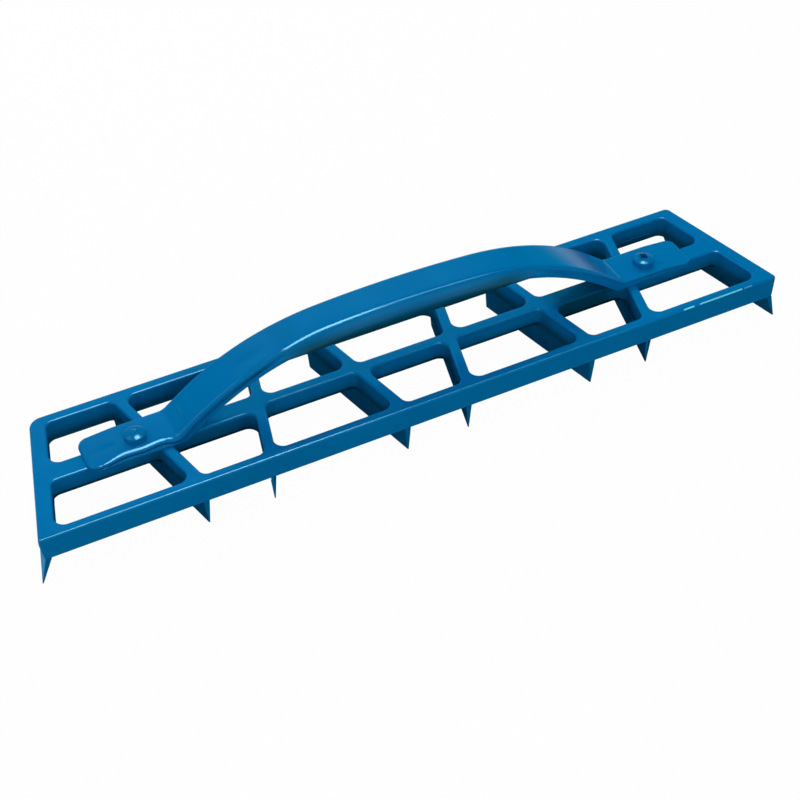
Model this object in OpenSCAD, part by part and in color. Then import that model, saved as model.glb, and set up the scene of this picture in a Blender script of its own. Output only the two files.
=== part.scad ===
// Lattice plane for levelling render, plaster and aerated block.
// A cast zigzag lattice carries a blade under each cross bar and a cast grip on two screws.
// +X runs along the frame, the front edge faces -Y, and Z = 0 is the plane of the cutting edges.

/* [Frame] */
// Length of the frame along its front edge
frame_l = 451.4; // [430:0.2:500]
// Width of the frame from front to back
frame_w = 85.4; // [76:0.2:100]
// Depth of the casting
frame_h = 14.7; // [13.6:0.1:20]
// Slant of the cross bars and of both ends, in degrees
bar_slant = 13.9; // [8:0.1:16]
// Spacing of the inner cross bars along the middle rail
bar_spacing = 59; // [54:0.5:62]
// Width of an inner cross bar
bar_w = 6.3; // [5:0.1:8]
// Width of the bar at each end
end_bar_w = 8.9; // [7.6:0.1:11]
// Width of the front rail
front_rail_w = 5.8; // [4.5:0.1:9]
// Width of the back rail
back_rail_w = 6.6; // [4.5:0.1:9]
// Width of the middle rail under the grip's arch
mid_rail_w = 6.6; // [5:0.1:9]
// Width of the middle rail under the grip's feet
foot_rail_w = 12; // [11:0.1:18]
// Depth of the middle rail
mid_rail_h = 12.4; // [10.6:0.1:13]
// Corner radius of a window where its corner is blunt
window_r = 4.5; // [2:0.1:6]
// Corner radius of a window where its corner is sharp
sharp_window_r = 5.5; // [3:0.1:8]
// Depth of the mould's parting line below the top face
parting_depth = 9.8; // [7:0.1:10.5]
// How far the window walls fall back below the parting line
parting_step = 0.7; // [0.3:0.1:1]
// Corner radius at the front left
front_left_r = 1; // [0.5:0.1:8]
// Corner radius at the front right
front_right_r = 2; // [0.5:0.1:8]
// Corner radius at the back right
back_right_r = 4; // [0.5:0.1:8]
// Corner radius at the back left
back_left_r = 8; // [0.5:0.1:9]
// Height of the upright band at the top of each end wall
end_band = 4; // [2:0.1:8]
// How far each end wall draws in at the bottom of the casting
end_waist = 1.5; // [0.5:0.1:2]

/* [Blades] */
// Depth of a blade below the casting
blade_d = 16.6; // [14:0.1:24]
// Thickness of a blade where it leaves the casting
blade_t = 3.3; // [2.8:0.1:4.2]
// Width of the ground land on the cutting edge
blade_land = 0.6; // [0.4:0.1:1.2]
// How far the edge of an end blade stands outside the frame
end_flare = 2.8; // [0:0.1:5]
// Thickness of the tongue that seats in the casting
tongue_t = 2; // [1.2:0.1:2.6]
// Height of the tongue
tongue_h = 5; // [3:0.1:8]
// Distance of the tongue from the front and back faces
tongue_inset = 4; // [2:0.1:8]
// Distance of an end blade from the back face, clear of the rounded corner
end_blade_setback = 3; // [2:0.1:6]
// Gap between a tongue and its groove on each side
tongue_fit = 0.05; // [0.02:0.01:0.2]

/* [Grip] */
// Height of the crown above the frame
crown_h = 45; // [43:0.2:56]
// Height of the flat underside of the crown above the frame
grip_clear = 32.4; // [29:0.1:36]
// Overall width of the grip
grip_w = 25.6; // [21:0.2:30]
// How far the grip sits behind the line of its screws
grip_back = 1.6; // [0:0.1:3]
// Rounding of the grip's upper edges
grip_edge_r = 4; // [2:0.1:4.4]
// Wall of the hollow grip
grip_wall = 2.8; // [2:0.1:4]
// Rounding inside the hollow
hollow_r = 1.2; // [0.5:0.1:2]
// Depth of the grip's sides along the legs
leg_depth = 6.8; // [5.5:0.1:9]
// Slope of the legs, in degrees
leg_slope = 38; // [35:0.5:42]
// Slope that the crown has reached where a shoulder begins, in degrees
crown_slope = 4; // [2:0.1:6]
// Radius of the shoulder between crown and leg
shoulder_r = 150; // [130:1:155]
// Radius of the bend between leg and foot
bend_r = 7; // [5:0.5:14]
// Thickness of a foot
foot_t = 4.5; // [4.3:0.1:6]
// Length of a foot inboard of its screw
foot_inner_l = 17; // [14:0.1:19]
// Length of a foot outboard of its screw
foot_outer_l = 29; // [20:0.1:36]
// Corner radius of a foot's tip, seen from above
foot_tip_r = 6; // [3:0.1:9]
// Thickness of a foot at its tip
tip_t = 2.6; // [2:0.1:4]
// Height of the upright rim below a foot's rounded edge
foot_rim = 0.5; // [0.2:0.1:0.7]
// Rounding of the tip's upper edge
tip_edge_r = 1.8; // [0.5:0.1:1.9]

/* [Fasteners] */
// Distance of a screw outboard of the nearest cross bar
screw_from_bar = 11; // [10.5:0.1:13]
// Diameter of the screw
screw_d = 6; // [5:0.1:6.4]
// Gap round the screw in the grip's foot
screw_clear = 0.3; // [0.1:0.05:0.5]
// Diameter of the screw's head
head_d = 12; // [10:0.1:14]
// Height of the screw's head
head_h = 5.2; // [4.4:0.1:6]
// Rounding of the head's upper edge
head_edge_r = 1.8; // [0.5:0.1:2.5]
// Length of the cross recess from tip to tip
recess_l = 6.4; // [4:0.1:8]
// Width of each slot of the cross recess
recess_w = 1.6; // [1:0.1:2.4]
// Depth of the cross recess
recess_h = 2.4; // [1:0.1:3]
// Distance of the screw's end above the underside of the middle rail
screw_short = 1.2; // [0.5:0.1:3]
// Gap between the screw and its tapped hole
thread_fit = 0.05; // [0.02:0.01:0.15]

/* [Hidden] */
$fn = 64;
over = 1;
arc_cross = 0.01;
crown_steps = 4;
shoulder_steps = 12;
bend_steps = 7;
edge_steps = 6;
paint = "#0571af";
dark_paint = "#025b87";
blade_count = 8;
foot_windows = 2;
last = blade_count - 1;
blade_names = [for (i = [1:blade_count]) str("blade_", i)];

run = tan(bar_slant);
frame_top = blade_d + frame_h;
end_x = frame_l / 2 - run * frame_w / 2;

// Bars are counted from the left end: 0 and last are the end bars, and they lean by turns
function is_end(i) = i == 0 || i == last;
function outward(i) = i == 0 ? -1 : 1;
function lean(i) = i % 2 == 0 ? 1 : -1;
function bar_half(i) = (is_end(i) ? end_bar_w : bar_w) / 2 / cos(bar_slant);
function bar_x(i) = is_end(i) ? outward(i) * (end_x - bar_half(i)) : (i - last / 2) * bar_spacing;
function bar_edge(i, y, side) = bar_x(i) + lean(i) * run * y + side * bar_half(i);

screw_x = (last / 2 - 1) * bar_spacing + screw_from_bar;

// Side line of the grip from the middle of the crown down to the start of the foot
foot_x = screw_x - foot_inner_l;
tip_x = screw_x + foot_outer_l;
shoulder_run = shoulder_r * (sin(leg_slope) - sin(crown_slope));
shoulder_drop = shoulder_r * (cos(crown_slope) - cos(leg_slope));
bend_drop = bend_r * (1 - cos(leg_slope));
crown_rise = tan(crown_slope / 2);
left_drop = crown_h - foot_t - shoulder_drop - bend_drop;
left_run = foot_x - shoulder_run - bend_r * sin(leg_slope);
crown_half = (left_run - left_drop / tan(leg_slope)) / (1 - crown_rise / tan(leg_slope));
crown_r = crown_half / sin(crown_slope);
function down(a) = [sin(a), cos(a)];
crown_c = [0, crown_h - crown_r];
shoulder_c = crown_c + (crown_r - shoulder_r) * down(crown_slope);
bend_c = [foot_x, foot_t + bend_r];
flat_end = screw_x + head_d / 2 + over;
corner_x = tip_x - foot_tip_r;

// A foot thins towards its tip, and its tip is rounded from above and from the side
function ease(t) = t * t * (3 - 2 * t);
function round_off(past, r) = r - sqrt(max(0, r * r - past * past));
function foot_z(x) = foot_t - (foot_t - tip_t) * ease(max(0, x - flat_end) / (tip_x - flat_end))
    - round_off(max(0, x - tip_x + tip_edge_r), tip_edge_r);
function half_w(x) = grip_w / 2 - round_off(max(0, abs(x) - corner_x), foot_tip_r);

// Points of the side line with their slope, outwards from the middle
arch_line = concat(
    [for (k = [0:crown_steps]) let (a = crown_slope * k / crown_steps) [crown_c + crown_r * down(a), a]],
    [for (k = [1:shoulder_steps]) let (a = crown_slope + (leg_slope - crown_slope) * k / shoulder_steps)
        [shoulder_c + shoulder_r * down(a), a]],
    [[bend_c - bend_r * down(leg_slope), leg_slope]]);
foot_line = concat(
    [for (k = [1:bend_steps]) let (a = leg_slope * (1 - k / bend_steps)) [bend_c - bend_r * down(a), a]],
    [for (x = [flat_end, (flat_end + corner_x) / 2]) [[x, foot_z(x)], 0]],
    [for (k = [0:edge_steps]) let (x = corner_x + foot_tip_r * sin(90 * k / edge_steps))
        [[x, foot_z(x)], 0]]);

// The sides are deep under the crown, down to a flat underside, shallow along the legs, and end on the frame
function side_depth(p, a) = min(max(leg_depth, (p.y - grip_clear) / cos(a)), p.y / cos(a));

far = frame_l + frame_w;

screw_l = foot_t + mid_rail_h - screw_short;

function unit(v) = v / norm(v);
function dot(a, b) = a.x * b.x + a.y * b.y;

// What an arc leaves of the corner between two straight walls; the arc crosses the walls by a hair
module corner_waste(corner, to_last, to_next, r) {
    half = acos(dot(to_last, to_next)) / 2;
    centre = corner + unit(to_last + to_next) * r / sin(half);
    touch = [for (way = [to_last, to_next]) corner + way * r / tan(half)];
    difference() {
        polygon([centre, 2 * touch[0] - centre, 2 * corner - centre, 2 * touch[1] - centre]);
        translate(centre) circle(r + arc_cross);
    }
}

// A convex outline with a true arc of its own radius at each corner
module rounded(points, radii) {
    n = len(points);
    difference() {
        polygon(points);
        for (k = [0:n - 1])
            corner_waste(points[k], unit(points[(k + n - 1) % n] - points[k]),
                         unit(points[(k + 1) % n] - points[k]), radii[k]);
    }
}

module along_bar(i) {
    translate([bar_x(i), 0, 0]) rotate([0, 0, -lean(i) * bar_slant]) children();
}

// A section in the bar's own X and Z, drawn out along the bar
module along_section(l) {
    rotate([90, 0, 0]) linear_extrude(l, center = true) children();
}

module window(i, y0, y1, grow) {
    x_grow = grow / cos(bar_slant);
    left = [for (y = [y0 - grow, y1 + grow]) bar_edge(i, y, 1) - x_grow];
    right = [for (y = [y0 - grow, y1 + grow]) bar_edge(i + 1, y, -1) + x_grow];
    narrow_front = right[0] - left[0] < right[1] - left[1];
    front_r = (narrow_front ? window_r : sharp_window_r) + grow;
    back_r = (narrow_front ? sharp_window_r : window_r) + grow;
    corners = [[left[0], y0 - grow], [right[0], y0 - grow], [right[1], y1 + grow], [left[1], y1 + grow]];
    rounded(corners, [front_r, front_r, back_r, back_r]);
}

module windows(grow) {
    for (i = [0:last - 1]) {
        mid = (i < foot_windows || i >= last - foot_windows ? foot_rail_w : mid_rail_w) / 2;
        window(i, front_rail_w - frame_w / 2, -mid, grow);
        window(i, mid, frame_w / 2 - back_rail_w, grow);
    }
}

// Between the bars the middle rail stops short of the casting's underside
module rail_relief() {
    for (i = [0:last - 1]) window(i, -frame_w / 4, frame_w / 4, parting_step / 2);
}

// Section of the material that the drawn-in end wall leaves out, X outwards from the end face
module end_taper() {
    fall = end_waist / (frame_h - end_band);
    polygon([[0, frame_top - end_band], [end_flare + over, frame_top - end_band],
             [end_flare + over, blade_d - over], [-end_waist - over * fall, blade_d - over]]);
}

module tongue(i, fit) {
    offset_x = is_end(i) ? outward(i) * (end_bar_w / 2 - end_waist - blade_t / 2) : 0;
    l = (frame_w - 2 * tongue_inset) / cos(bar_slant) + 2 * fit;
    along_bar(i) translate([offset_x - tongue_t / 2 - fit, -l / 2, blade_d])
        cube([tongue_t + 2 * fit, l, tongue_h + fit]);
}

module lattice_frame() {
    back_x = end_x - run * frame_w / 2;
    color(paint) difference() {
        translate([0, 0, blade_d]) linear_extrude(frame_h)
            rounded([[-frame_l / 2, -frame_w / 2], [frame_l / 2, -frame_w / 2],
                     [back_x, frame_w / 2], [-back_x, frame_w / 2]],
                    [front_left_r, front_right_r, back_right_r, back_left_r]);
        translate([0, 0, blade_d - over]) linear_extrude(frame_h + 2 * over)
            windows(0);
        translate([0, 0, blade_d - over]) linear_extrude(frame_h - parting_depth + over)
            windows(parting_step);
        translate([0, 0, blade_d - over]) linear_extrude(frame_h - mid_rail_h + over)
            rail_relief();
        for (i = [0, last])
            along_bar(i) mirror([i == 0 ? 1 : 0, 0, 0]) translate([end_bar_w / 2, 0, 0])
                along_section(far) end_taper();
        for (i = [0:last]) tongue(i, tongue_fit);
        for (side = [-1, 1])
            translate([side * screw_x, 0, blade_d - over])
                cylinder(h = frame_h + 2 * over, d = screw_d + 2 * thread_fit);
    }
}

module wedge() {
    polygon([[-blade_t / 2, blade_d], [blade_t / 2, blade_d], [blade_land / 2, 0], [-blade_land / 2, 0]]);
}

// X outwards from the end face
module leaning_wedge() {
    polygon([[-end_waist, blade_d], [end_flare, 0],
             [end_flare - blade_land, 0], [-end_waist - blade_t, blade_d]]);
}

module blade(i) {
    setback = is_end(i) ? end_blade_setback : 0;
    color(dark_paint) union() {
        intersection() {
            along_bar(i)
                if (is_end(i))
                    mirror([i == 0 ? 1 : 0, 0, 0]) translate([end_bar_w / 2, 0, 0])
                        along_section(far) leaning_wedge();
                else
                    along_section(far) wedge();
            translate([-far / 2, -frame_w / 2, -over]) cube([far, frame_w - setback, blade_d + 2 * over]);
        }
        tongue(i, 0);
    }
}

function mirrored(line) = [for (k = [len(line) - 1:-1:1]) [[-line[k][0].x, line[k][0].y], -line[k][1]]];

// Half of a section from its lower corner to its flat top: distance from the middle, depth
function half_section(w, top, bottom, r) = concat([[w, bottom]],
    [for (k = [0:edge_steps]) let (b = 90 * k / edge_steps) [w - r + r * cos(b), top + r - r * sin(b)]]);

function ring(p, a, half) = [for (q = concat(half, [for (k = [len(half) - 1:-1:0]) [-half[k].x, half[k].y]]))
    [p.x - q.y * sin(a), q.x, p.y - q.y * cos(a)]];

// One closed skin: an outer surface along the whole grip, and an open hollow under the arch and the legs
module grip_body() {
    half_line = concat(arch_line, foot_line);
    line = concat(mirrored(half_line), half_line);
    first = len(foot_line);
    final = len(line) - 1 - first;
    outer = [for (s = line) let (depth = side_depth(s[0], s[1]))
        ring(s[0], s[1], half_section(half_w(s[0].x), 0, depth, min(grip_edge_r, depth - foot_rim)))];
    inner = [for (k = [first:final]) let (s = line[k])
        ring(s[0], s[1], half_section(grip_w / 2 - grip_wall, grip_wall, side_depth(s[0], s[1]), hollow_r))];
    n = len(outer[0]);
    base = len(line) * n;
    function out(k, j) = k * n + j;
    function in(k, j) = base + (k - first) * n + j;
    skin = [for (k = [0:len(line) - 2], j = [0:n - 2])
        [out(k, j), out(k, j + 1), out(k + 1, j + 1), out(k + 1, j)]];
    ceiling = [for (k = [first:final - 1], j = [0:n - 2])
        [in(k, j), in(k + 1, j), in(k + 1, j + 1), in(k, j + 1)]];
    lips = [for (k = [first:final - 1], side = [0, n - 1]) side == 0
        ? [in(k, 0), out(k, 0), out(k + 1, 0), in(k + 1, 0)]
        : [out(k, side), in(k, side), in(k + 1, side), out(k + 1, side)]];
    function plain_sole(k) = [[out(k, n - 1), out(k, 0), out(k + 1, 0), out(k + 1, n - 1)]];
    function sole_before(k) = [
        [out(k, n - 1), in(k + 1, n - 1), out(k + 1, n - 1)],
        [out(k, n - 1), out(k, 0), in(k + 1, 0)],
        [out(k, n - 1), in(k + 1, 0), in(k + 1, n - 1)],
        [out(k, 0), out(k + 1, 0), in(k + 1, 0)]];
    function sole_after(k) = [
        [out(k, n - 1), in(k, n - 1), out(k + 1, n - 1)],
        [in(k, n - 1), out(k + 1, 0), out(k + 1, n - 1)],
        [in(k, n - 1), in(k, 0), out(k + 1, 0)],
        [in(k, 0), out(k, 0), out(k + 1, 0)]];
    soles = [for (k = [0:len(line) - 2]) if (k < first || k >= final)
        each k == final ? sole_after(k) : k + 1 == first ? sole_before(k) : plain_sole(k)];
    ends = [[for (j = [n - 1:-1:0]) out(0, j)], [for (j = [0:n - 1]) out(len(line) - 1, j)],
        [for (j = [0:n - 1]) in(first, j)], [for (j = [n - 1:-1:0]) in(final, j)]];
    polyhedron([for (r = concat(outer, inner), q = r) q], concat(skin, ceiling, lips, soles, ends));
}

module handle() {
    color(paint) translate([0, 0, frame_top]) difference() {
        translate([0, grip_back, 0]) grip_body();
        for (side = [-1, 1])
            translate([side * screw_x, 0, -over])
                cylinder(h = foot_t + 2 * over, d = screw_d + 2 * screw_clear);
    }
}

module handle_screw(side) {
    head_half = head_d / 2;
    color(paint) translate([side * screw_x, 0, frame_top + foot_t]) difference() {
        union() {
            translate([0, 0, -screw_l]) cylinder(h = screw_l, d = screw_d);
            rotate_extrude() {
                square([head_half, head_h - head_edge_r]);
                square([head_half - head_edge_r, head_h]);
                translate([head_half - head_edge_r, head_h - head_edge_r])
                    intersection() {
                        circle(head_edge_r);
                        square(head_edge_r);
                    }
            }
        }
        for (turn = [0, 90])
            rotate([0, 0, turn]) translate([-recess_l / 2, -recess_w / 2, head_h - recess_h])
                cube([recess_l, recess_w, recess_h + over]);
    }
}

lattice_frame();
handle();
for (i = [0:last]) blade(i);
handle_screw(-1);  // handle_screw_left
handle_screw(1);  // handle_screw_right
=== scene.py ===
from math import atan2, cos, exp, radians, sin, sqrt, tan

import bmesh
import bpy
from mathutils import Matrix, Vector


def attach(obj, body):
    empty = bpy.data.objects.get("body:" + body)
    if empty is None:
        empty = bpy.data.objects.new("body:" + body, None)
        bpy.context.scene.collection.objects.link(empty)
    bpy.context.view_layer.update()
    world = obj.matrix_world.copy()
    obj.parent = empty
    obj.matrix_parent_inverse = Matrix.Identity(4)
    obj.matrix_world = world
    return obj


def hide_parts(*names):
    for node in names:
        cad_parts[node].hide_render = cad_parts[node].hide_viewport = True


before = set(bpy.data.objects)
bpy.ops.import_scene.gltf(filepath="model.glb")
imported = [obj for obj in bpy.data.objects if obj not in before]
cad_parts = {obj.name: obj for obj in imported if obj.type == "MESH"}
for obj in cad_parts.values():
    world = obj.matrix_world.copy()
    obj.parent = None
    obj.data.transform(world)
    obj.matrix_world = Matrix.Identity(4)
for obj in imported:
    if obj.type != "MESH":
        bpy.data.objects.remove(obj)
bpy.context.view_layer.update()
mm = 0.001
scene = bpy.context.scene
print("frame loaded:", len(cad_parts), "nodes")


# sRGB hex to linear colour
def hexLinear(code):
    parts = [int(code[k:k + 2], 16) / 255 for k in (1, 3, 5)]
    return tuple(p / 12.92 if p <= 0.04045 else ((p + 0.055) / 1.055) ** 2.4 for p in parts) + (1.0,)


def addNode(tree, kind, settings={}, inputs={}, links={}):
    node = tree.nodes.new(kind)
    for name, value in settings.items():
        setattr(node, name, value)
    for name, value in inputs.items():
        node.inputs[name].default_value = value
    for name, source in links.items():
        tree.links.new(source, node.inputs[name])
    return node


def newMaterial(name):
    material = bpy.data.materials.new(name)
    material.use_nodes = True
    material.node_tree.nodes.clear()
    return material, material.node_tree


# camera: found from the corners of the lattice, so the view and the perspective are the photograph's
camera = {
    "place": (-0.2828, -0.5682, 0.6155), "heading": 26.24, "pitch": 44.47,  # metres, degrees
    "roll": -0.010,  # radians
    "lens": 69.04, "sensor": 36, "farthest": 20,
}


def makeCamera():
    heading, pitch, roll = radians(camera["heading"]), radians(camera["pitch"]), camera["roll"]
    forward = Vector((sin(heading) * cos(pitch), cos(heading) * cos(pitch), -sin(pitch)))
    right = Vector((cos(heading), -sin(heading), 0))
    up = right.cross(forward)
    across = cos(roll) * right + sin(roll) * up
    upright = -sin(roll) * right + cos(roll) * up
    bpy.ops.object.camera_add()
    eye = bpy.context.object
    turn = Matrix((across, upright, -forward)).transposed().to_4x4()
    eye.matrix_world = Matrix.Translation(camera["place"]) @ turn
    eye.data.lens = camera["lens"]
    eye.data.sensor_width = camera["sensor"]
    eye.data.clip_end = camera["farthest"]
    scene.camera = eye


makeCamera()
print("camera placed")

# stage, in metres: a white paper floor under an even dome, with two fills that give no gloss
# key and rightKey show in the gloss alone, where they draw the pale lines along the rounded edges
stage = {
    "floorSize": 6, "floorDrop": 0.5 * mm, "floorColour": "#d4dcb8", "paperGlow": 0.98, "paperGloss": 0.6,
    "shadeColour": "#000407", "shadeReach": (0.06, 0.5),
    "shadeCentre": (0.275, -0.7, 0), "shadeHalf": (0.515, 0.75, 0),
    # painted reflection: a pale blue that the gloss alone sees past the left end
    "endLine": (1, -0.2475, 0), "endPlace": -0.2165, "endReflectionColour": "#6cccff",
    "domeColour": "#00d0e0", "domeStrength": 0.7, "wallRise": 0.12,
    "lamps": {
        "key": {"place": (0.025, -0.24, 1.22), "size": (0.55, 0.65), "watts": 13.5,
                "diffuse": False, "gloss": True},
        "rightKey": {"place": (0.40, -0.24, 1.22), "size": (0.2, 0.65), "watts": 2.2,
                     "diffuse": False, "gloss": True},
        "leftFill": {"place": (-0.9, 0.1, 0.9), "size": (0.7, 0.7), "watts": 1.3,
                     "diffuse": True, "gloss": True},
        "frontFill": {"place": (-0.1, -1.1, 0.75), "size": (1.2, 0.5), "watts": 4.6,
                      "diffuse": True, "gloss": False},
        "backFill": {"place": (0.1, 1.1, 0.9), "size": (1.4, 0.5), "watts": 9.4,
                     "diffuse": True, "gloss": False},
    },
}
paperWhite = (1, 1, 1, 1)


# how white a ray sees the paper: wholly when it is seen directly, and as much as inGloss when it is mirrored
def whiteShare(tree, path, inGloss):
    mirrored = addNode(tree, "ShaderNodeMath", {"operation": "MULTIPLY"}, {},
                       {0: path.outputs["Is Glossy Ray"], 1: inGloss})
    direct = addNode(tree, "ShaderNodeMath", {"operation": "MAXIMUM"}, {},
                     {0: path.outputs["Is Camera Ray"], 1: path.outputs["Is Transmission Ray"]})
    seen = addNode(tree, "ShaderNodeMath", {"operation": "MAXIMUM"}, {},
                   {0: direct.outputs[0], 1: mirrored.outputs[0]})
    return seen.outputs[0]


# mirrored in the enamel, the paper is painted dark in front of the tool and to its right (painted shade), and
# white further off past the slanted left end the gloss sees a pale blue, a painted reflection that the
# leaning end blade picks up
def makeFloor():
    bpy.ops.mesh.primitive_plane_add(size=stage["floorSize"], location=(0, 0, -stage["floorDrop"]))
    floor = bpy.context.object
    floor.name = "paperFloor"
    material, tree = newMaterial("white seamless paper")
    place = addNode(tree, "ShaderNodeTexCoord").outputs["Object"]
    away = place
    for operation, inputs in (("SUBTRACT", {1: stage["shadeCentre"]}), ("ABSOLUTE", {}),
                              ("SUBTRACT", {1: stage["shadeHalf"]}), ("MAXIMUM", {1: (0, 0, 0)})):
        away = addNode(tree, "ShaderNodeVectorMath", {"operation": operation}, inputs, {0: away}).outputs[0]
    reach = addNode(tree, "ShaderNodeVectorMath", {"operation": "LENGTH"}, {}, {0: away})
    near, far = stage["shadeReach"]
    lit = addNode(tree, "ShaderNodeMapRange", {"interpolation_type": "SMOOTHSTEP"},
                  {"From Min": near, "From Max": far, "To Max": stage["paperGloss"]},
                  {"Value": reach.outputs["Value"]})
    along = addNode(tree, "ShaderNodeVectorMath", {"operation": "DOT_PRODUCT"}, {1: stage["endLine"]},
                    {0: place})
    leftOf = addNode(tree, "ShaderNodeMath", {"operation": "LESS_THAN"}, {1: stage["endPlace"]},
                     {0: along.outputs["Value"]})
    leftLit = addNode(tree, "ShaderNodeMath", {"operation": "MULTIPLY"}, {1: stage["paperGloss"]},
                      {0: leftOf.outputs[0]})
    bright = addNode(tree, "ShaderNodeMath", {"operation": "MAXIMUM"}, {},
                     {0: lit.outputs[0], 1: leftLit.outputs[0]})
    path = addNode(tree, "ShaderNodeLightPath")
    leftGloss = addNode(tree, "ShaderNodeMath", {"operation": "MULTIPLY"}, {},
                        {0: path.outputs["Is Glossy Ray"], 1: leftOf.outputs[0]})
    light = addNode(tree, "ShaderNodeMix", {"data_type": "RGBA"},
                    {6: paperWhite, 7: hexLinear(stage["endReflectionColour"])}, {0: leftGloss.outputs[0]})
    seen = whiteShare(tree, path, bright.outputs[0])
    share = addNode(tree, "ShaderNodeMath", {"operation": "MULTIPLY"}, {1: stage["paperGlow"]}, {0: seen})
    tone = addNode(tree, "ShaderNodeMix", {"data_type": "RGBA"},
                   {6: hexLinear(stage["floorColour"]), 7: hexLinear(stage["shadeColour"])},
                   {0: path.outputs["Is Glossy Ray"]})
    paper = addNode(tree, "ShaderNodeBsdfDiffuse", {}, {}, {"Color": tone.outputs[2]})
    glow = addNode(tree, "ShaderNodeEmission", {}, {"Strength": 1.0}, {"Color": light.outputs[2]})
    mixed = addNode(tree, "ShaderNodeMixShader", {}, {},
                    {0: share.outputs[0], 1: paper.outputs[0], 2: glow.outputs[0]})
    addNode(tree, "ShaderNodeOutputMaterial", {}, {}, {"Surface": mixed.outputs[0]})
    floor.data.materials.append(material)


def makeLamps():
    for name, lamp in stage["lamps"].items():
        bpy.ops.object.light_add(type="AREA", location=lamp["place"])
        light = bpy.context.object
        light.name = name
        light.data.shape = "RECTANGLE"
        light.data.size, light.data.size_y = lamp["size"]
        light.data.energy = lamp["watts"]
        light.visible_diffuse = lamp["diffuse"]
        light.visible_glossy = lamp["gloss"]
        light.rotation_euler = (-Vector(lamp["place"])).to_track_quat("-Z", "Y").to_euler()


# the camera sees white beyond the paper, and the gloss sees it low down; the dome above only lights the tool
def makeWorld():
    scene.world = bpy.data.worlds.new("studio")
    scene.world.use_nodes = True
    tree = scene.world.node_tree
    tree.nodes.clear()
    dome = addNode(tree, "ShaderNodeBackground", {},
                   {"Color": hexLinear(stage["domeColour"]), "Strength": stage["domeStrength"]})
    beyond = addNode(tree, "ShaderNodeBackground", {}, {"Color": paperWhite, "Strength": 1.0})
    way = addNode(tree, "ShaderNodeTexCoord").outputs["Generated"]
    height = addNode(tree, "ShaderNodeSeparateXYZ", {}, {}, {0: way}).outputs["Z"]
    low = addNode(tree, "ShaderNodeMapRange", {},
                  {"From Min": stage["wallRise"], "From Max": 0, "To Max": stage["paperGloss"]},
                  {"Value": height})
    path = addNode(tree, "ShaderNodeLightPath")
    seen = whiteShare(tree, path, low.outputs[0])
    mixed = addNode(tree, "ShaderNodeMixShader", {}, {}, {0: seen, 1: dome.outputs[0], 2: beyond.outputs[0]})
    addNode(tree, "ShaderNodeOutputWorld", {}, {}, {"Surface": mixed.outputs[0]})


makeFloor()
makeLamps()
makeWorld()
scene.view_settings.view_transform = "Standard"
print("stage lit")

# stoved enamel, dipped and glossy: an even blue with faint clouds, with painted shade laid darker in corners
# and low on the walls and the grip, and a slow wave and a fine orange peel in its reflections
railSide = {"axis": "Y", "middle": 0, "near": 7 * mm, "far": 9 * mm}
enamel = {
    # painted shade: the dark teal laid into corners and low on the walls, where shade falls
    "paintedShade": "#03323a", "cornerShadeReach": 14 * mm, "cornerShadeSamples": 6,
    "cornerShadeOpen": 0.85, "cornerShadeClosed": 0.25, "cornerShadeShare": 0.7,
    "cloudSize": 38 * mm, "cloudDetail": 3,
    "peelSize": 1.6 * mm, "peelDetail": 1, "peelHeight": 0.012 * mm,
    "waveSize": 11 * mm, "waveDetail": 2, "waveHeight": 0.03 * mm,
    "gloss": (0.12, 0.2), "refraction": 1.65, "specularTint": "#9ae6ff",
    # painted shade bands, by height: low on the inner walls, under each foot, and low on the crown's front
    "wallShade": {"from": 27 * mm, "to": 17 * mm, "share": 0.6,
                "limits": [{"axis": "Y", "middle": 0, "near": 39 * mm, "far": 41 * mm}]},
    "leftFootShade": {"from": 31.2 * mm, "to": 27.5 * mm, "share": 0.4,
                    "limits": [{"axis": "X", "middle": -121 * mm, "near": 28 * mm, "far": 44 * mm},
                               railSide]},
    "rightFootShade": {"from": 33 * mm, "to": 30.5 * mm, "share": 0.8,
                     "limits": [{"axis": "X", "middle": 115 * mm, "near": 14 * mm, "far": 26 * mm},
                                railSide]},
    "crownShade": {"from": 73.5 * mm, "to": 65 * mm, "share": 0.95,
                 "limits": [{"axis": "X", "middle": 0, "near": 60 * mm, "far": 80 * mm}]},
    # worn-through dashes along the front edge, coloured like the gloss line: wear and painted highlight
    "wearAndHighlight": {"colour": "#d2f6ff", "ridge": 51.6 * mm, "ridgeSoft": 0.06 * mm, "endSoft": 0.8 * mm,
             "dashes": [{"middle": 163.5 * mm, "half": 3.9 * mm, "share": 1.0},
                        {"middle": 185.8 * mm, "half": 15.2 * mm, "share": 0.8},
                        {"middle": 205 * mm, "half": 3.2 * mm, "share": 0.28}]},
}


# full share nearer to the middle than near, and nothing past far
def insideBand(tree, along, middle, near, far, share=1):
    away = addNode(tree, "ShaderNodeMath", {"operation": "SUBTRACT"}, {1: middle}, {0: along})
    reach = addNode(tree, "ShaderNodeMath", {"operation": "ABSOLUTE"}, {}, {0: away.outputs[0]})
    inside = addNode(tree, "ShaderNodeMapRange", {}, {"From Min": far, "From Max": near, "To Max": share},
                     {"Value": reach.outputs[0]})
    return inside.outputs[0]


# painted shade, by height and place: darker low on the inner walls, under the feet and under the crown,
# where shade falls
def paintShade(tree, place, colour, run):
    spot = addNode(tree, "ShaderNodeSeparateXYZ", {}, {}, {0: place})
    shaded = addNode(tree, "ShaderNodeMapRange", {"interpolation_type": "SMOOTHSTEP"},
                    {"From Min": run["from"], "From Max": run["to"], "To Max": run["share"]},
                    {"Value": spot.outputs["Z"]})
    for limit in run["limits"]:
        inside = insideBand(tree, spot.outputs[limit["axis"]], limit["middle"], limit["near"], limit["far"])
        shaded = addNode(tree, "ShaderNodeMath", {"operation": "MULTIPLY"}, {},
                        {0: shaded.outputs[0], 1: inside})
    return addNode(tree, "ShaderNodeMix", {"data_type": "RGBA"}, {7: hexLinear(enamel["paintedShade"])},
                   {0: shaded.outputs[0], 6: colour}).outputs[2]
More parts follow.
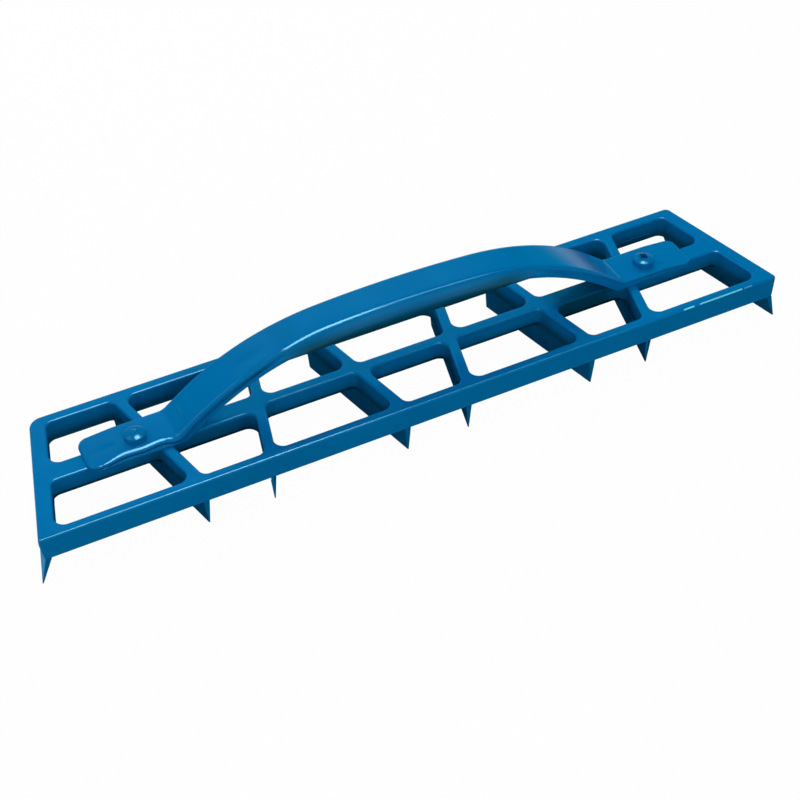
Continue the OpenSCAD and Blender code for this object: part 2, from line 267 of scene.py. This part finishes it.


# along the front edge three pale dashes stand for enamel worn through; they are coloured like the gloss line
# and laid on the ridge where it falls, so they are a painted highlight as well
def paintWearAndHighlight(tree, place, colour, wearAndHighlight):
    lean = sqrt(0.5)  # the ridge is where the rounded edge faces half forwards, half up
    out = addNode(tree, "ShaderNodeVectorMath", {"operation": "DOT_PRODUCT"}, {1: (0, -lean, lean)},
                  {0: place})
    ridge = addNode(tree, "ShaderNodeMapRange", {},
                    {"From Min": wearAndHighlight["ridge"], "From Max": wearAndHighlight["ridge"] + wearAndHighlight["ridgeSoft"]},
                    {"Value": out.outputs["Value"]})
    along = addNode(tree, "ShaderNodeSeparateXYZ", {}, {}, {0: place}).outputs["X"]
    for dash in wearAndHighlight["dashes"]:
        full = dash["half"] - wearAndHighlight["endSoft"]
        inside = insideBand(tree, along, dash["middle"], full, dash["half"], dash["share"])
        bareAndHighlight = addNode(tree, "ShaderNodeMath", {"operation": "MULTIPLY"}, {},
                       {0: inside, 1: ridge.outputs[0]})
        colour = addNode(tree, "ShaderNodeMix", {"data_type": "RGBA"}, {7: hexLinear(wearAndHighlight["colour"])},
                         {0: bareAndHighlight.outputs[0], 6: colour}).outputs[2]
    return colour


def glossyEnamel(name, deep, bright, runs=(), wearAndHighlight=None):
    material, tree = newMaterial(name)
    place = addNode(tree, "ShaderNodeTexCoord").outputs["Object"]
    cloud = addNode(tree, "ShaderNodeTexNoise", {},
                    {"Scale": 1 / enamel["cloudSize"], "Detail": enamel["cloudDetail"]}, {"Vector": place})
    mottled = addNode(tree, "ShaderNodeMix", {"data_type": "RGBA"},
                      {6: hexLinear(deep), 7: hexLinear(bright)}, {0: cloud.outputs["Fac"]})
    # painted shade: ambient occlusion darkens the enamel towards the painted shade colour in corners and
    # hollows
    corner = addNode(tree, "ShaderNodeAmbientOcclusion",
                     {"samples": enamel["cornerShadeSamples"], "only_local": True},
                     {"Distance": enamel["cornerShadeReach"]})
    cornerShading = addNode(tree, "ShaderNodeMapRange", {},
                      {"From Min": enamel["cornerShadeOpen"], "From Max": enamel["cornerShadeClosed"],
                       "To Max": enamel["cornerShadeShare"]}, {"Value": corner.outputs["AO"]})
    paintedShade = addNode(tree, "ShaderNodeMix", {"data_type": "RGBA"}, {7: hexLinear(enamel["paintedShade"])},
                     {0: cornerShading.outputs[0], 6: mottled.outputs[2]})
    colour = paintedShade.outputs[2]
    # painted shade, one band after another
    for run in runs:
        colour = paintShade(tree, place, colour, run)
    # pale dashes on the front edge: wear and painted highlight
    if wearAndHighlight:
        colour = paintWearAndHighlight(tree, place, colour, wearAndHighlight)
    peel = addNode(tree, "ShaderNodeTexNoise", {},
                   {"Scale": 1 / enamel["peelSize"], "Detail": enamel["peelDetail"]}, {"Vector": place})
    wave = addNode(tree, "ShaderNodeTexNoise", {},
                   {"Scale": 1 / enamel["waveSize"], "Detail": enamel["waveDetail"]}, {"Vector": place})
    peeled = addNode(tree, "ShaderNodeBump", {}, {"Strength": 1.0, "Distance": enamel["peelHeight"]},
                     {"Height": peel.outputs["Fac"]})
    waved = addNode(tree, "ShaderNodeBump", {}, {"Strength": 1.0, "Distance": enamel["waveHeight"]},
                    {"Height": wave.outputs["Fac"], "Normal": peeled.outputs[0]})
    low, high = enamel["gloss"]
    gloss = addNode(tree, "ShaderNodeMapRange", {}, {"To Min": low, "To Max": high},
                    {"Value": wave.outputs["Fac"]})
    shader = addNode(tree, "ShaderNodeBsdfPrincipled", {},
                     {"IOR": enamel["refraction"], "Specular Tint": hexLinear(enamel["specularTint"])},
                     {"Base Color": colour, "Roughness": gloss.outputs[0], "Normal": waved.outputs[0]})
    addNode(tree, "ShaderNodeOutputMaterial", {}, {}, {"Surface": shader.outputs[0]})
    return material


# painted shade on the casting and on the grip
frameShades = [enamel[run] for run in ("wallShade", "leftFootShade", "rightFootShade")]
gripShades = [enamel["crownShade"]]
paints = {
    "frame_enamel": glossyEnamel("glossy blue enamel on the casting", "#0067a1", "#0076b4",
                                 frameShades, enamel["wearAndHighlight"]),
    "grip_enamel": glossyEnamel("glossy blue enamel on the grip", "#0066a0", "#0074b2", gripShades),
    "blade_enamel": glossyEnamel("glossy blue enamel on the blades", "#005a8c", "#0069a2"),
    "fastener_enamel": glossyEnamel("glossy blue enamel on the screws", "#00629a", "#0070ae"),
}
print("enamel mixed")

weld = 0.002 * mm  # what lies closer together than this counts as one
facing = 0.9  # a face looks one way when this much of its normal lies along it


def selectOnly(piece):
    bpy.ops.object.select_all(action="DESELECT")
    bpy.context.view_layer.objects.active = piece
    piece.select_set(True)


def editMesh(kind):
    bpy.ops.object.mode_set(mode="EDIT")
    bpy.ops.mesh.select_mode(type=kind)


def copyNode(node, name):
    piece = bpy.data.objects.new(name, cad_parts[node].data.copy())
    scene.collection.objects.link(piece)
    piece.data.materials.clear()
    selectOnly(piece)
    editMesh("VERT")
    bpy.ops.mesh.select_all(action="SELECT")
    bpy.ops.mesh.remove_doubles(threshold=weld)
    bpy.ops.mesh.select_mode(type="EDGE")
    return piece


# sharp edges whose two ends lie between two heights
def pickEdges(piece, low, high, angle=40):
    bpy.ops.mesh.select_all(action="DESELECT")
    mesh = bmesh.from_edit_mesh(piece.data)
    for edge in mesh.edges:
        heights = [corner.co.z for corner in edge.verts]
        inside = min(heights) > low and max(heights) < high
        edge.select_set(inside and len(edge.link_faces) == 2 and edge.calc_face_angle() > radians(angle))
    bmesh.update_edit_mesh(piece.data)


# faces that look one way, at one height if it is given
def pickFaces(piece, way, height=None):
    bpy.ops.mesh.select_all(action="DESELECT")
    mesh = bmesh.from_edit_mesh(piece.data)
    for face in mesh.faces:
        level = height is None or abs(face.calc_center_median().z - height) < weld
        face.select_set(level and face.normal.dot(Vector(way)) > facing)
    bmesh.update_edit_mesh(piece.data)


def roundEdges(size, steps):
    bpy.ops.mesh.bevel(offset=size, segments=steps, profile=0.5, affect="EDGES", clamp_overlap=False)


def cutWith(piece, cutter):
    selectOnly(piece)
    bpy.ops.object.modifier_add(type="BOOLEAN")
    piece.modifiers[0].operation = "DIFFERENCE"
    piece.modifiers[0].object = cutter
    bpy.ops.object.modifier_apply(modifier=piece.modifiers[0].name)
    bpy.data.objects.remove(cutter)


def finishPiece(piece, slot, nodes, smooth=38):
    bpy.ops.mesh.select_all(action="DESELECT")
    bpy.ops.object.mode_set(mode="OBJECT")
    bpy.ops.object.shade_smooth_by_angle(angle=radians(smooth))
    bpy.ops.object.modifier_add(type="WEIGHTED_NORMAL")
    piece.modifiers[0].keep_sharp = True
    bpy.ops.object.modifier_apply(modifier=piece.modifiers[0].name)
    piece.data.materials.append(paints[slot])
    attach(piece, "root")
    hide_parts(*nodes)


# casting: every edge left by the mould is softened by the enamel
casting = {
    "rims": [{"height": 31.3 * mm, "up": 1, "size": 1.5 * mm, "steps": 5},
             {"height": 16.6 * mm, "up": -1, "size": 0.3 * mm, "steps": 3}],
    "level": 0.99, "fewestCorners": 12,
}

# the bead that the mould left where its two halves met; it shows in the two windows at the right end
flash = {
    "radius": 0.5 * mm, "sides": 12, "height": 21.6 * mm, "end": 4 * mm, "taper": 0.3,
    "runs": [{"from": 166 * mm, "to": 191 * mm, "y": 36.1 * mm},
             {"from": 196 * mm, "to": 201 * mm, "y": -6 * mm}],
}


# rounds the rim of a flat face into its upright walls, ring by ring, and fills the face again
# a rim of only a few corners, such as a groove's, stays sharp
def softRim(piece, height, up, size, steps):
    mesh = bmesh.from_edit_mesh(piece.data)
    flat = [face for face in mesh.faces
            if face.normal.z * up > casting["level"] and abs(face.calc_center_median().z - height) < weld]
    bmesh.ops.delete(mesh, geom=flat, context="FACES")
    walls = {}
    for edge in mesh.edges:
        for corner in edge.verts if edge.is_boundary else ():
            walls.setdefault(corner, []).append(edge)
    rim, sharp, seen = {}, [], set()
    for corner in list(walls):
        loop, line = [corner], []
        while loop:
            here = loop.pop()
            if here not in seen:
                seen.add(here)
                line.append(here)
                loop += [edge.other_vert(here) for edge in walls[here]]
        for here in line:
            if len(line) < casting["fewestCorners"]:
                sharp += walls[here]
                continue
            outs = [edge.link_faces[0].normal for edge in walls[here]]
            out = (outs[0] + outs[1]).normalized()
            rim[here] = (here.co.copy(), -out / out.dot(outs[0]))
    ring = [edge for edge in mesh.edges if edge.is_boundary and edge.verts[0] in rim]
    for corner in rim:
        corner.co.z -= up * size
    for step in range(1, steps + 1):
        turn = radians(90 * step / steps)
        drop = Vector((0, 0, up * size * (sin(turn) - 1)))
        made = bmesh.ops.extrude_edge_only(mesh, edges=ring)["geom"]
        nextRim = {}
        for corner in made:
            if isinstance(corner, bmesh.types.BMVert):
                joined = [edge.other_vert(corner) for edge in corner.link_edges]
                below = next(other for other in joined if other in rim)
                place, inward = rim[below]
                corner.co = place + inward * size * (1 - cos(turn)) + drop
                nextRim[corner] = rim[below]
        rim = nextRim
        ring = [edge for edge in mesh.edges if edge.is_boundary and edge.verts[0] in rim]
    bmesh.ops.triangle_fill(mesh, use_beauty=True, edges=list(dict.fromkeys(ring + sharp)), normal=(0, 0, up))
    bmesh.ops.recalc_face_normals(mesh, faces=mesh.faces)
    bmesh.update_edit_mesh(piece.data)


def addFlash(piece):
    height, taper = flash["height"], flash["taper"]
    for run in flash["runs"]:
        bpy.ops.object.select_all(action="DESELECT")
        bpy.ops.mesh.primitive_cylinder_add(
            vertices=flash["sides"], radius=flash["radius"], depth=run["to"] - run["from"],
            rotation=(0, radians(90), 0), location=((run["from"] + run["to"]) / 2, run["y"], height))
        bead = bpy.context.object
        bpy.ops.object.transform_apply(location=True, rotation=True, scale=True)
        editMesh("FACE")
        for way in (-1, 1):
            pickFaces(bead, (way, 0, 0))
            bpy.ops.mesh.extrude_region_move(TRANSFORM_OT_translate={"value": (way * flash["end"], 0, 0)})
            bpy.ops.transform.resize(value=(1, taper, taper), center_override=(0, run["y"], height))
        bpy.ops.object.mode_set(mode="OBJECT")
        piece.select_set(True)
        bpy.context.view_layer.objects.active = piece
        bpy.ops.object.join()


def makeCasting():
    piece = copyNode("lattice_frame", "casting")
    for rim in casting["rims"]:
        softRim(piece, **rim)
    bpy.ops.object.mode_set(mode="OBJECT")
    addFlash(piece)
    bpy.ops.object.mode_set(mode="EDIT")
    finishPiece(piece, "frame_enamel", ["lattice_frame"])


makeCasting()
print("casting softened")

# blades: the grinding leaves a narrow land, and the enamel rounds it over
blade = {"count": 8, "root": 16.5 * mm, "edgeRound": 0.18 * mm, "edgeSteps": 2}


def makeBlades():
    for number in range(1, blade["count"] + 1):
        piece = copyNode("blade_%d" % number, "blade%d" % number)
        pickEdges(piece, -blade["edgeRound"], blade["root"])
        roundEdges(blade["edgeRound"], blade["edgeSteps"])
        finishPiece(piece, "blade_enamel", ["blade_%d" % number])


makeBlades()
print("blades rounded over")

# grip, in mm: one cast skin over an open channel; its upper edge is rounded, and a groove runs above a proud
# lower lip; it was fettled by hand, so the left foot's front edge waves and both feet keep small dents
grip = {
    "base": 31.3, "crownHeight": 45, "clear": 32.4, "halfWidth": 12.8, "setBack": 1.6,
    "wall": 2.8, "hollowRound": 1.2, "hollowCut": 0.3,
    "legDepth": 6.8, "legSlope": 38, "crownSlope": 4, "shoulderRadius": 150, "bendRadius": 7,
    "footThick": 4.5, "footStart": 141.5, "flatEnd": 165.5,
    "tip": 187.5, "tipCorner": 6, "tipThick": 2.6, "tipEdge": 1.8,
    "crownRound": 3.8, "legRound": 2.0, "roundFrom": 55, "roundFull": 115, "bow": 0.15,
    "lipRound": 0.5, "crownLipRound": 2.1,
    "groove": 0.6, "grooveFrom": 70, "grooveFull": 94, "tuck": 0.5, "crownTuck": {"front": 3.1, "back": 0},
    # on thin stretches these take no more than a share of the depth
    "most": {"tuck": 0.3, "round": 0.48, "lip": 0.17, "bow": 0.05},
    # down the wall: share of its height, share of the groove, how far the ledge has stepped out
    "wallLine": [(0.1, 0.25, 0), (0.2, 0.7, 0), (0.33, 1, 0), (0.48, 0.85, 0), (0.52, 0, 0.9), (0.58, 0, 1)],
    "legs": {
        "left": {"groove": 1, "rollFrom": 128, "rollFull": 140, "rollFade": 0.7, "upper": 4.5, "lower": 1.2},
        "right": {"groove": 0.3, "rollFrom": 118, "rollFull": 140, "rollFade": 0, "upper": 0.6, "lower": 0.6},
    },
    "rollEnd": (168, 178),
    # places along and shifts of the left foot's front edge, down to a share of the depth
    "wave": [(-180, -0.2), (-167, 1.3), (-157.5, 0.8), (-147.5, 1.6), (-138, -0.4), (-130, 0)],
    "waveSide": (4, 8), "waveDepth": 0.685,
    "crease": {"x": -133.7, "slant": 0.13, "depth": 0.8, "half": 0.75, "front": (-8, -5), "back": (6, 10)},
    "dents": [
        {"x": -174.7, "side": -1.5, "depth": 0.5, "long": 4.5, "wide": 2},
        {"x": -92.6, "side": -2, "depth": 0.4, "long": 9, "wide": 4},
        {"x": -140, "side": 8.4, "depth": -0.4, "long": 4.5, "wide": 1},
        {"x": -165.5, "side": 5.9, "depth": -0.3, "long": 1.2, "wide": 1},
        {"x": -161.6, "side": 8, "depth": -0.3, "long": 1.3, "wide": 0.9},
        {"x": 179.7, "side": -6.1, "depth": -0.45, "long": 5, "wide": 1.2},
        {"x": 169.5, "side": -8.2, "depth": 0.5, "long": 4, "wide": 0.9},
        {"x": 138.7, "side": -7.7, "depth": -0.3, "long": 3, "wide": 0.9},
    ],
    "dentReach": 3, "dentDepth": 0.6,
    "holeX": 158.5, "holeRadius": 3.3, "drillLength": 20, "drillSides": 32,
    "steps": {"crown": 12, "shoulder": 48, "leg": 6, "bend": 9, "foot": 60, "tip": 12,
              "top": 14, "edge": 10, "lip": 5},
    "smooth": 50,
}


# smooth rise from 0 at low to 1 at high
def between(low, high, value):
    share = min(1, max(0, (value - low) / (high - low)))
    return share * share * (3 - 2 * share)


# how far a round of this radius has fallen at a distance past its crest
def roundOff(past, radius):
    return radius - sqrt(max(0, radius * radius - past * past))


# stations of the right half, from the middle of the crown to the tip: place along, height, slope of the top
def gripStations():
    steps = grip["steps"]
    legTurn, crownTurn = radians(grip["legSlope"]), radians(grip["crownSlope"])
    shoulder, bend, foot = grip["shoulderRadius"], grip["bendRadius"], grip["footThick"]
    drop = grip["crownHeight"] - foot - shoulder * (cos(crownTurn) - cos(legTurn)) - bend * (1 - cos(legTurn))
    reach = grip["footStart"] - shoulder * (sin(legTurn) - sin(crownTurn)) - bend * sin(legTurn)
    crownHalf = (reach - drop / tan(legTurn)) / (1 - tan(crownTurn / 2) / tan(legTurn))
    crown = crownHalf / sin(crownTurn)
    low = grip["crownHeight"] - crown
    turns = [crownTurn * k / steps["crown"] for k in range(steps["crown"])]
    stations = [(crown * sin(a), low + crown * cos(a), a) for a in turns]
    ahead, middle = (crown - shoulder) * sin(crownTurn), low + (crown - shoulder) * cos(crownTurn)
    for k in range(steps["shoulder"] + 1):
        a = crownTurn + (legTurn - crownTurn) * k / steps["shoulder"]
        stations.append((ahead + shoulder * sin(a), middle + shoulder * cos(a), a))
    bendX, bendZ = grip["footStart"] - bend * sin(legTurn), foot + bend * (1 - cos(legTurn))
    x, z = stations[-1][:2]
    for k in range(1, steps["leg"] + 1):
        stations.append((x + (bendX - x) * k / steps["leg"], z + (bendZ - z) * k / steps["leg"], legTurn))
    archCount = len(stations)
    for k in range(1, steps["bend"] + 1):
        a = legTurn * (1 - k / steps["bend"])
        stations.append((grip["footStart"] - bend * sin(a), foot + bend * (1 - cos(a)), a))
    corner = grip["tip"] - grip["tipCorner"]
    flat = corner - grip["footStart"]
    places = [grip["footStart"] + flat * k / steps["foot"] for k in range(1, steps["foot"] + 1)]
    turns = [radians(90 * k / steps["tip"]) for k in range(1, steps["tip"] + 1)]
    places += [corner + grip["tipCorner"] * sin(a) for a in turns]
    for x in places:
        thin = between(grip["flatEnd"], grip["tip"], x) * (foot - grip["tipThick"])
        past = max(0, x - grip["tip"] + grip["tipEdge"])
        stations.append((x, foot - thin - roundOff(past, grip["tipEdge"]), 0))
    return stations, archCount


# one half of the outer section, from the middle of the top down to the lip: distance from the middle, depth
def outerHalf(width, depth, crownTuck, slim, grooved, rolled, leg):
    steps, most = grip["steps"], grip["most"]
    groove = grip["groove"] * grooved
    tuck = min(crownTuck + (grip["tuck"] - crownTuck) * slim, most["tuck"] * depth)
    edge = grip["crownRound"] + (grip["legRound"] - grip["crownRound"]) * slim
    upper, lower = [edge + (leg[part] - edge) * rolled for part in ("upper", "lower")]
    midTurn = cos(radians(45))
    shrink = min(1, most["round"] * depth / (upper * (1 - midTurn) + lower * midTurn))
    upper, lower = upper * shrink, lower * shrink
    lip = min(grip["crownLipRound"] + (grip["lipRound"] - grip["crownLipRound"]) * slim, most["lip"] * depth)
    bow = min(grip["bow"], most["bow"] * depth)
    lean = atan2(tuck * (1 - grooved), depth - lip - edge * shrink)
    arc, u, v = [(0, bow)], 0, bow
    for k in range(1, steps["edge"] + 1):
        a, b = [(radians(90) - lean) * step / steps["edge"] for step in (k - 1, k)]
        bend = upper if 2 * k <= steps["edge"] else lower
        u, v = u + bend * (sin(b) - sin(a)), v + bend * (cos(a) - cos(b))
        arc.append((u, v))
    inner, left = width - tuck - u, depth - lip - v
    half = [(inner * k / steps["top"], bow * (k / steps["top"]) ** 2) for k in range(steps["top"])]
    half += [(inner + x, y) for x, y in arc]
    for share, push, ledge in grip["wallLine"]:
        out = share + (ledge - share) * grooved
        half.append((width - tuck + tuck * out - groove * push, v + left * share))
    for k in range(steps["lip"] + 1):
        turn = radians(90 * k / steps["lip"])
        half.append((width - lip * (1 - cos(turn)), depth - lip * (1 - sin(turn))))
    return half


# the hollow under the arch; a foot is solid, so there it lies flat in the sole
def innerHalf(width, depth, hollow):
    inside = width - grip["wall"]
    ceiling, bend = (grip["wall"], grip["hollowRound"]) if hollow else (depth, 0)
    cut = grip["hollowCut"] * bend
    half = [(inside, depth), (inside, ceiling + bend), (inside - cut, ceiling + cut)]
    return half + [(inside - bend, ceiling), (inside / 2, ceiling), (0, ceiling)]


# small unevennesses of the top: how far a spot shifts sideways and how far it sinks
def handWork(x, side):
    shift = 0
    for (fromX, fromShift), (toX, toShift) in zip(grip["wave"], grip["wave"][1:]):
        if fromX <= x <= toX:
            shift = fromShift + (toShift - fromShift) * between(fromX, toX, x)
            shift *= between(*grip["waveSide"], -side)
    crease = grip["crease"]
    past = (x - crease["x"] - crease["slant"] * side) / crease["half"]
    sink = crease["depth"] * exp(-past ** 2)
    sink *= between(*crease["front"], side)
    sink *= 1 - between(*crease["back"], side)
    for dent in grip["dents"]:
        away = ((x - dent["x"]) / dent["long"]) ** 2 + ((side - dent["side"]) / dent["wide"]) ** 2
        sink += dent["depth"] * exp(-away) if away < grip["dentReach"] ** 2 else 0
    return shift, sink


def gripRing(station, hand, hollow):
    x, z, slope = station
    leg = grip["legs"]["left" if hand < 0 else "right"]
    width = grip["halfWidth"] - roundOff(max(0, x - grip["tip"] + grip["tipCorner"]), grip["tipCorner"])
    depth = min(max(grip["legDepth"], (z - grip["clear"]) / cos(slope)), z / cos(slope))
    slim = between(grip["roundFrom"], grip["roundFull"], x)
    grooved = between(grip["grooveFrom"], grip["grooveFull"], x) * leg["groove"]
    rolled = between(leg["rollFrom"], leg["rollFull"], x)
    rolled *= 1 - leg["rollFade"] * between(*grip["rollEnd"], x)
    front = outerHalf(width, depth, grip["crownTuck"]["front"], slim, grooved, rolled, leg)
    back = outerHalf(width, depth, grip["crownTuck"]["back"], slim, grooved, 0, leg)
    inner = innerHalf(width, depth, hollow)
    loop = [(u, v, True) for u, v in reversed(back)] + [(-u, v, True) for u, v in front[1:]]
    loop += [(-u, v, False) for u, v in inner] + [(u, v, False) for u, v in reversed(inner[:-1])]
    ring = []
    for u, v, skin in loop:
        shift, sink = handWork(hand * x, u) if skin else (0, 0)
        deep = v + max(sink, -v) * max(0, 1 - v / (grip["dentDepth"] * depth))
        u += shift * (v < grip["waveDepth"] * depth)
        ring.append((hand * (x - deep * sin(slope)) * mm, (grip["setBack"] + u) * mm,
                     (grip["base"] + z - deep * cos(slope)) * mm))
    return ring


def makeGrip():
    stations, archCount = gripStations()
    rings = [gripRing(stations[k], -1, k < archCount) for k in range(len(stations) - 1, 0, -1)]
    rings += [gripRing(stations[k], 1, k < archCount) for k in range(len(stations))]
    mesh = bpy.data.meshes.new("grip")
    piece = bpy.data.objects.new("grip", mesh)
    scene.collection.objects.link(piece)
    skin = bmesh.new()
    loops = [[skin.verts.new(place) for place in ring] for ring in rings]
    count = len(loops[0])
    for here, onward in zip(loops, loops[1:]):
        for k in range(count):
            skin.faces.new((here[k], here[(k + 1) % count], onward[(k + 1) % count], onward[k]))
    skin.faces.new(loops[0])
    skin.faces.new(loops[-1])
    bmesh.ops.recalc_face_normals(skin, faces=skin.faces)
    skin.to_mesh(mesh)
    skin.free()
    for side in (-1, 1):
        bpy.ops.object.select_all(action="DESELECT")
        bpy.ops.mesh.primitive_cylinder_add(
            vertices=grip["drillSides"], radius=grip["holeRadius"] * mm, depth=grip["drillLength"] * mm,
            location=(side * grip["holeX"] * mm, 0, grip["base"] * mm))
        cutWith(piece, bpy.context.object)
    bpy.ops.object.mode_set(mode="EDIT")
    finishPiece(piece, "grip_enamel", ["handle"], grip["smooth"])


makeGrip()
print("grip cast")

# screws: pan heads turned on a lathe, with a struck cross recess that the enamel partly fills
screw = {
    "x": grip["holeX"] * mm, "seat": (grip["base"] + grip["footThick"]) * mm, "sides": 48,
    "headRadius": 6 * mm, "headHeight": 5.2 * mm, "dome": 10.5 * mm, "domeSteps": 9,
    "rimRound": 0.5 * mm, "rimSteps": 4,
    "shankRadius": 3 * mm, "shankLength": 15.7 * mm, "endRound": 0.5 * mm, "endSteps": 2,
    "recessTaper": 0.6, "recessZone": 0.5 * mm, "recessAngle": 50, "recessRound": 0.3 * mm, "recessSteps": 2,
    "left": {"turn": 20, "reach": 2.5 * mm, "width": 2.0 * mm, "depth": 0.5 * mm},
    "right": {"turn": 30, "reach": 3.0 * mm, "width": 2.5 * mm, "depth": 2.3 * mm},
}


def makeCutter(x, turn, recess):
    bpy.ops.object.select_all(action="DESELECT")
    top = screw["seat"] + screw["headHeight"]
    bpy.ops.mesh.primitive_cube_add(size=1, location=(x, 0, top))
    cutter = bpy.context.object
    cutter.scale = (2 * recess["reach"], recess["width"], 2 * recess["depth"])
    cutter.rotation_euler = (0, 0, radians(turn))
    bpy.ops.object.transform_apply(location=True, rotation=True, scale=True)
    editMesh("FACE")
    pickFaces(cutter, (0, 0, -1), top - recess["depth"])
    taper = screw["recessTaper"]
    bpy.ops.transform.resize(value=(taper, taper, 1), center_override=(x, 0, top))
    bpy.ops.object.mode_set(mode="OBJECT")
    return cutter


def makeScrew(side, x):
    seat, radius, dome = screw["seat"], screw["headRadius"], screw["dome"]
    top = seat + screw["headHeight"]
    rim = top - roundOff(radius, dome)
    bpy.ops.object.select_all(action="DESELECT")
    bpy.ops.mesh.primitive_cylinder_add(
        vertices=screw["sides"], radius=radius, depth=rim - seat, location=(x, 0, (rim + seat) / 2))
    piece = bpy.context.object
    piece.name = side + "Screw"
    bpy.ops.object.transform_apply(location=True, rotation=True, scale=True)
    editMesh("FACE")
    pickFaces(piece, (0, 0, 1), rim)
    ring = radius / screw["domeSteps"]
    for step in range(1, screw["domeSteps"]):
        here, before = radius - ring * step, radius - ring * (step - 1)
        bpy.ops.mesh.inset(thickness=ring)
        bpy.ops.transform.translate(value=(0, 0, roundOff(before, dome) - roundOff(here, dome)))
    pickFaces(piece, (0, 0, -1), seat)
    bpy.ops.mesh.inset(thickness=radius - screw["shankRadius"])
    bpy.ops.mesh.extrude_region_move(TRANSFORM_OT_translate={"value": (0, 0, -screw["shankLength"])})
    bpy.ops.mesh.select_mode(type="EDGE")
    pickEdges(piece, rim - weld, rim + weld)
    roundEdges(screw["rimRound"], screw["rimSteps"])
    tail = seat - screw["shankLength"]
    pickEdges(piece, tail - weld, tail + weld)
    roundEdges(screw["endRound"], screw["endSteps"])
    bpy.ops.object.mode_set(mode="OBJECT")
    for turn in (0, 90):
        cutWith(piece, makeCutter(x, screw[side]["turn"] + turn, screw[side]))
    editMesh("EDGE")
    pickEdges(piece, top - screw["recessZone"], top + weld, screw["recessAngle"])
    roundEdges(screw["recessRound"], screw["recessSteps"])
    finishPiece(piece, "fastener_enamel", ["handle_screw_" + side])


makeScrew("left", -screw["x"])
makeScrew("right", screw["x"])
print("screws turned")
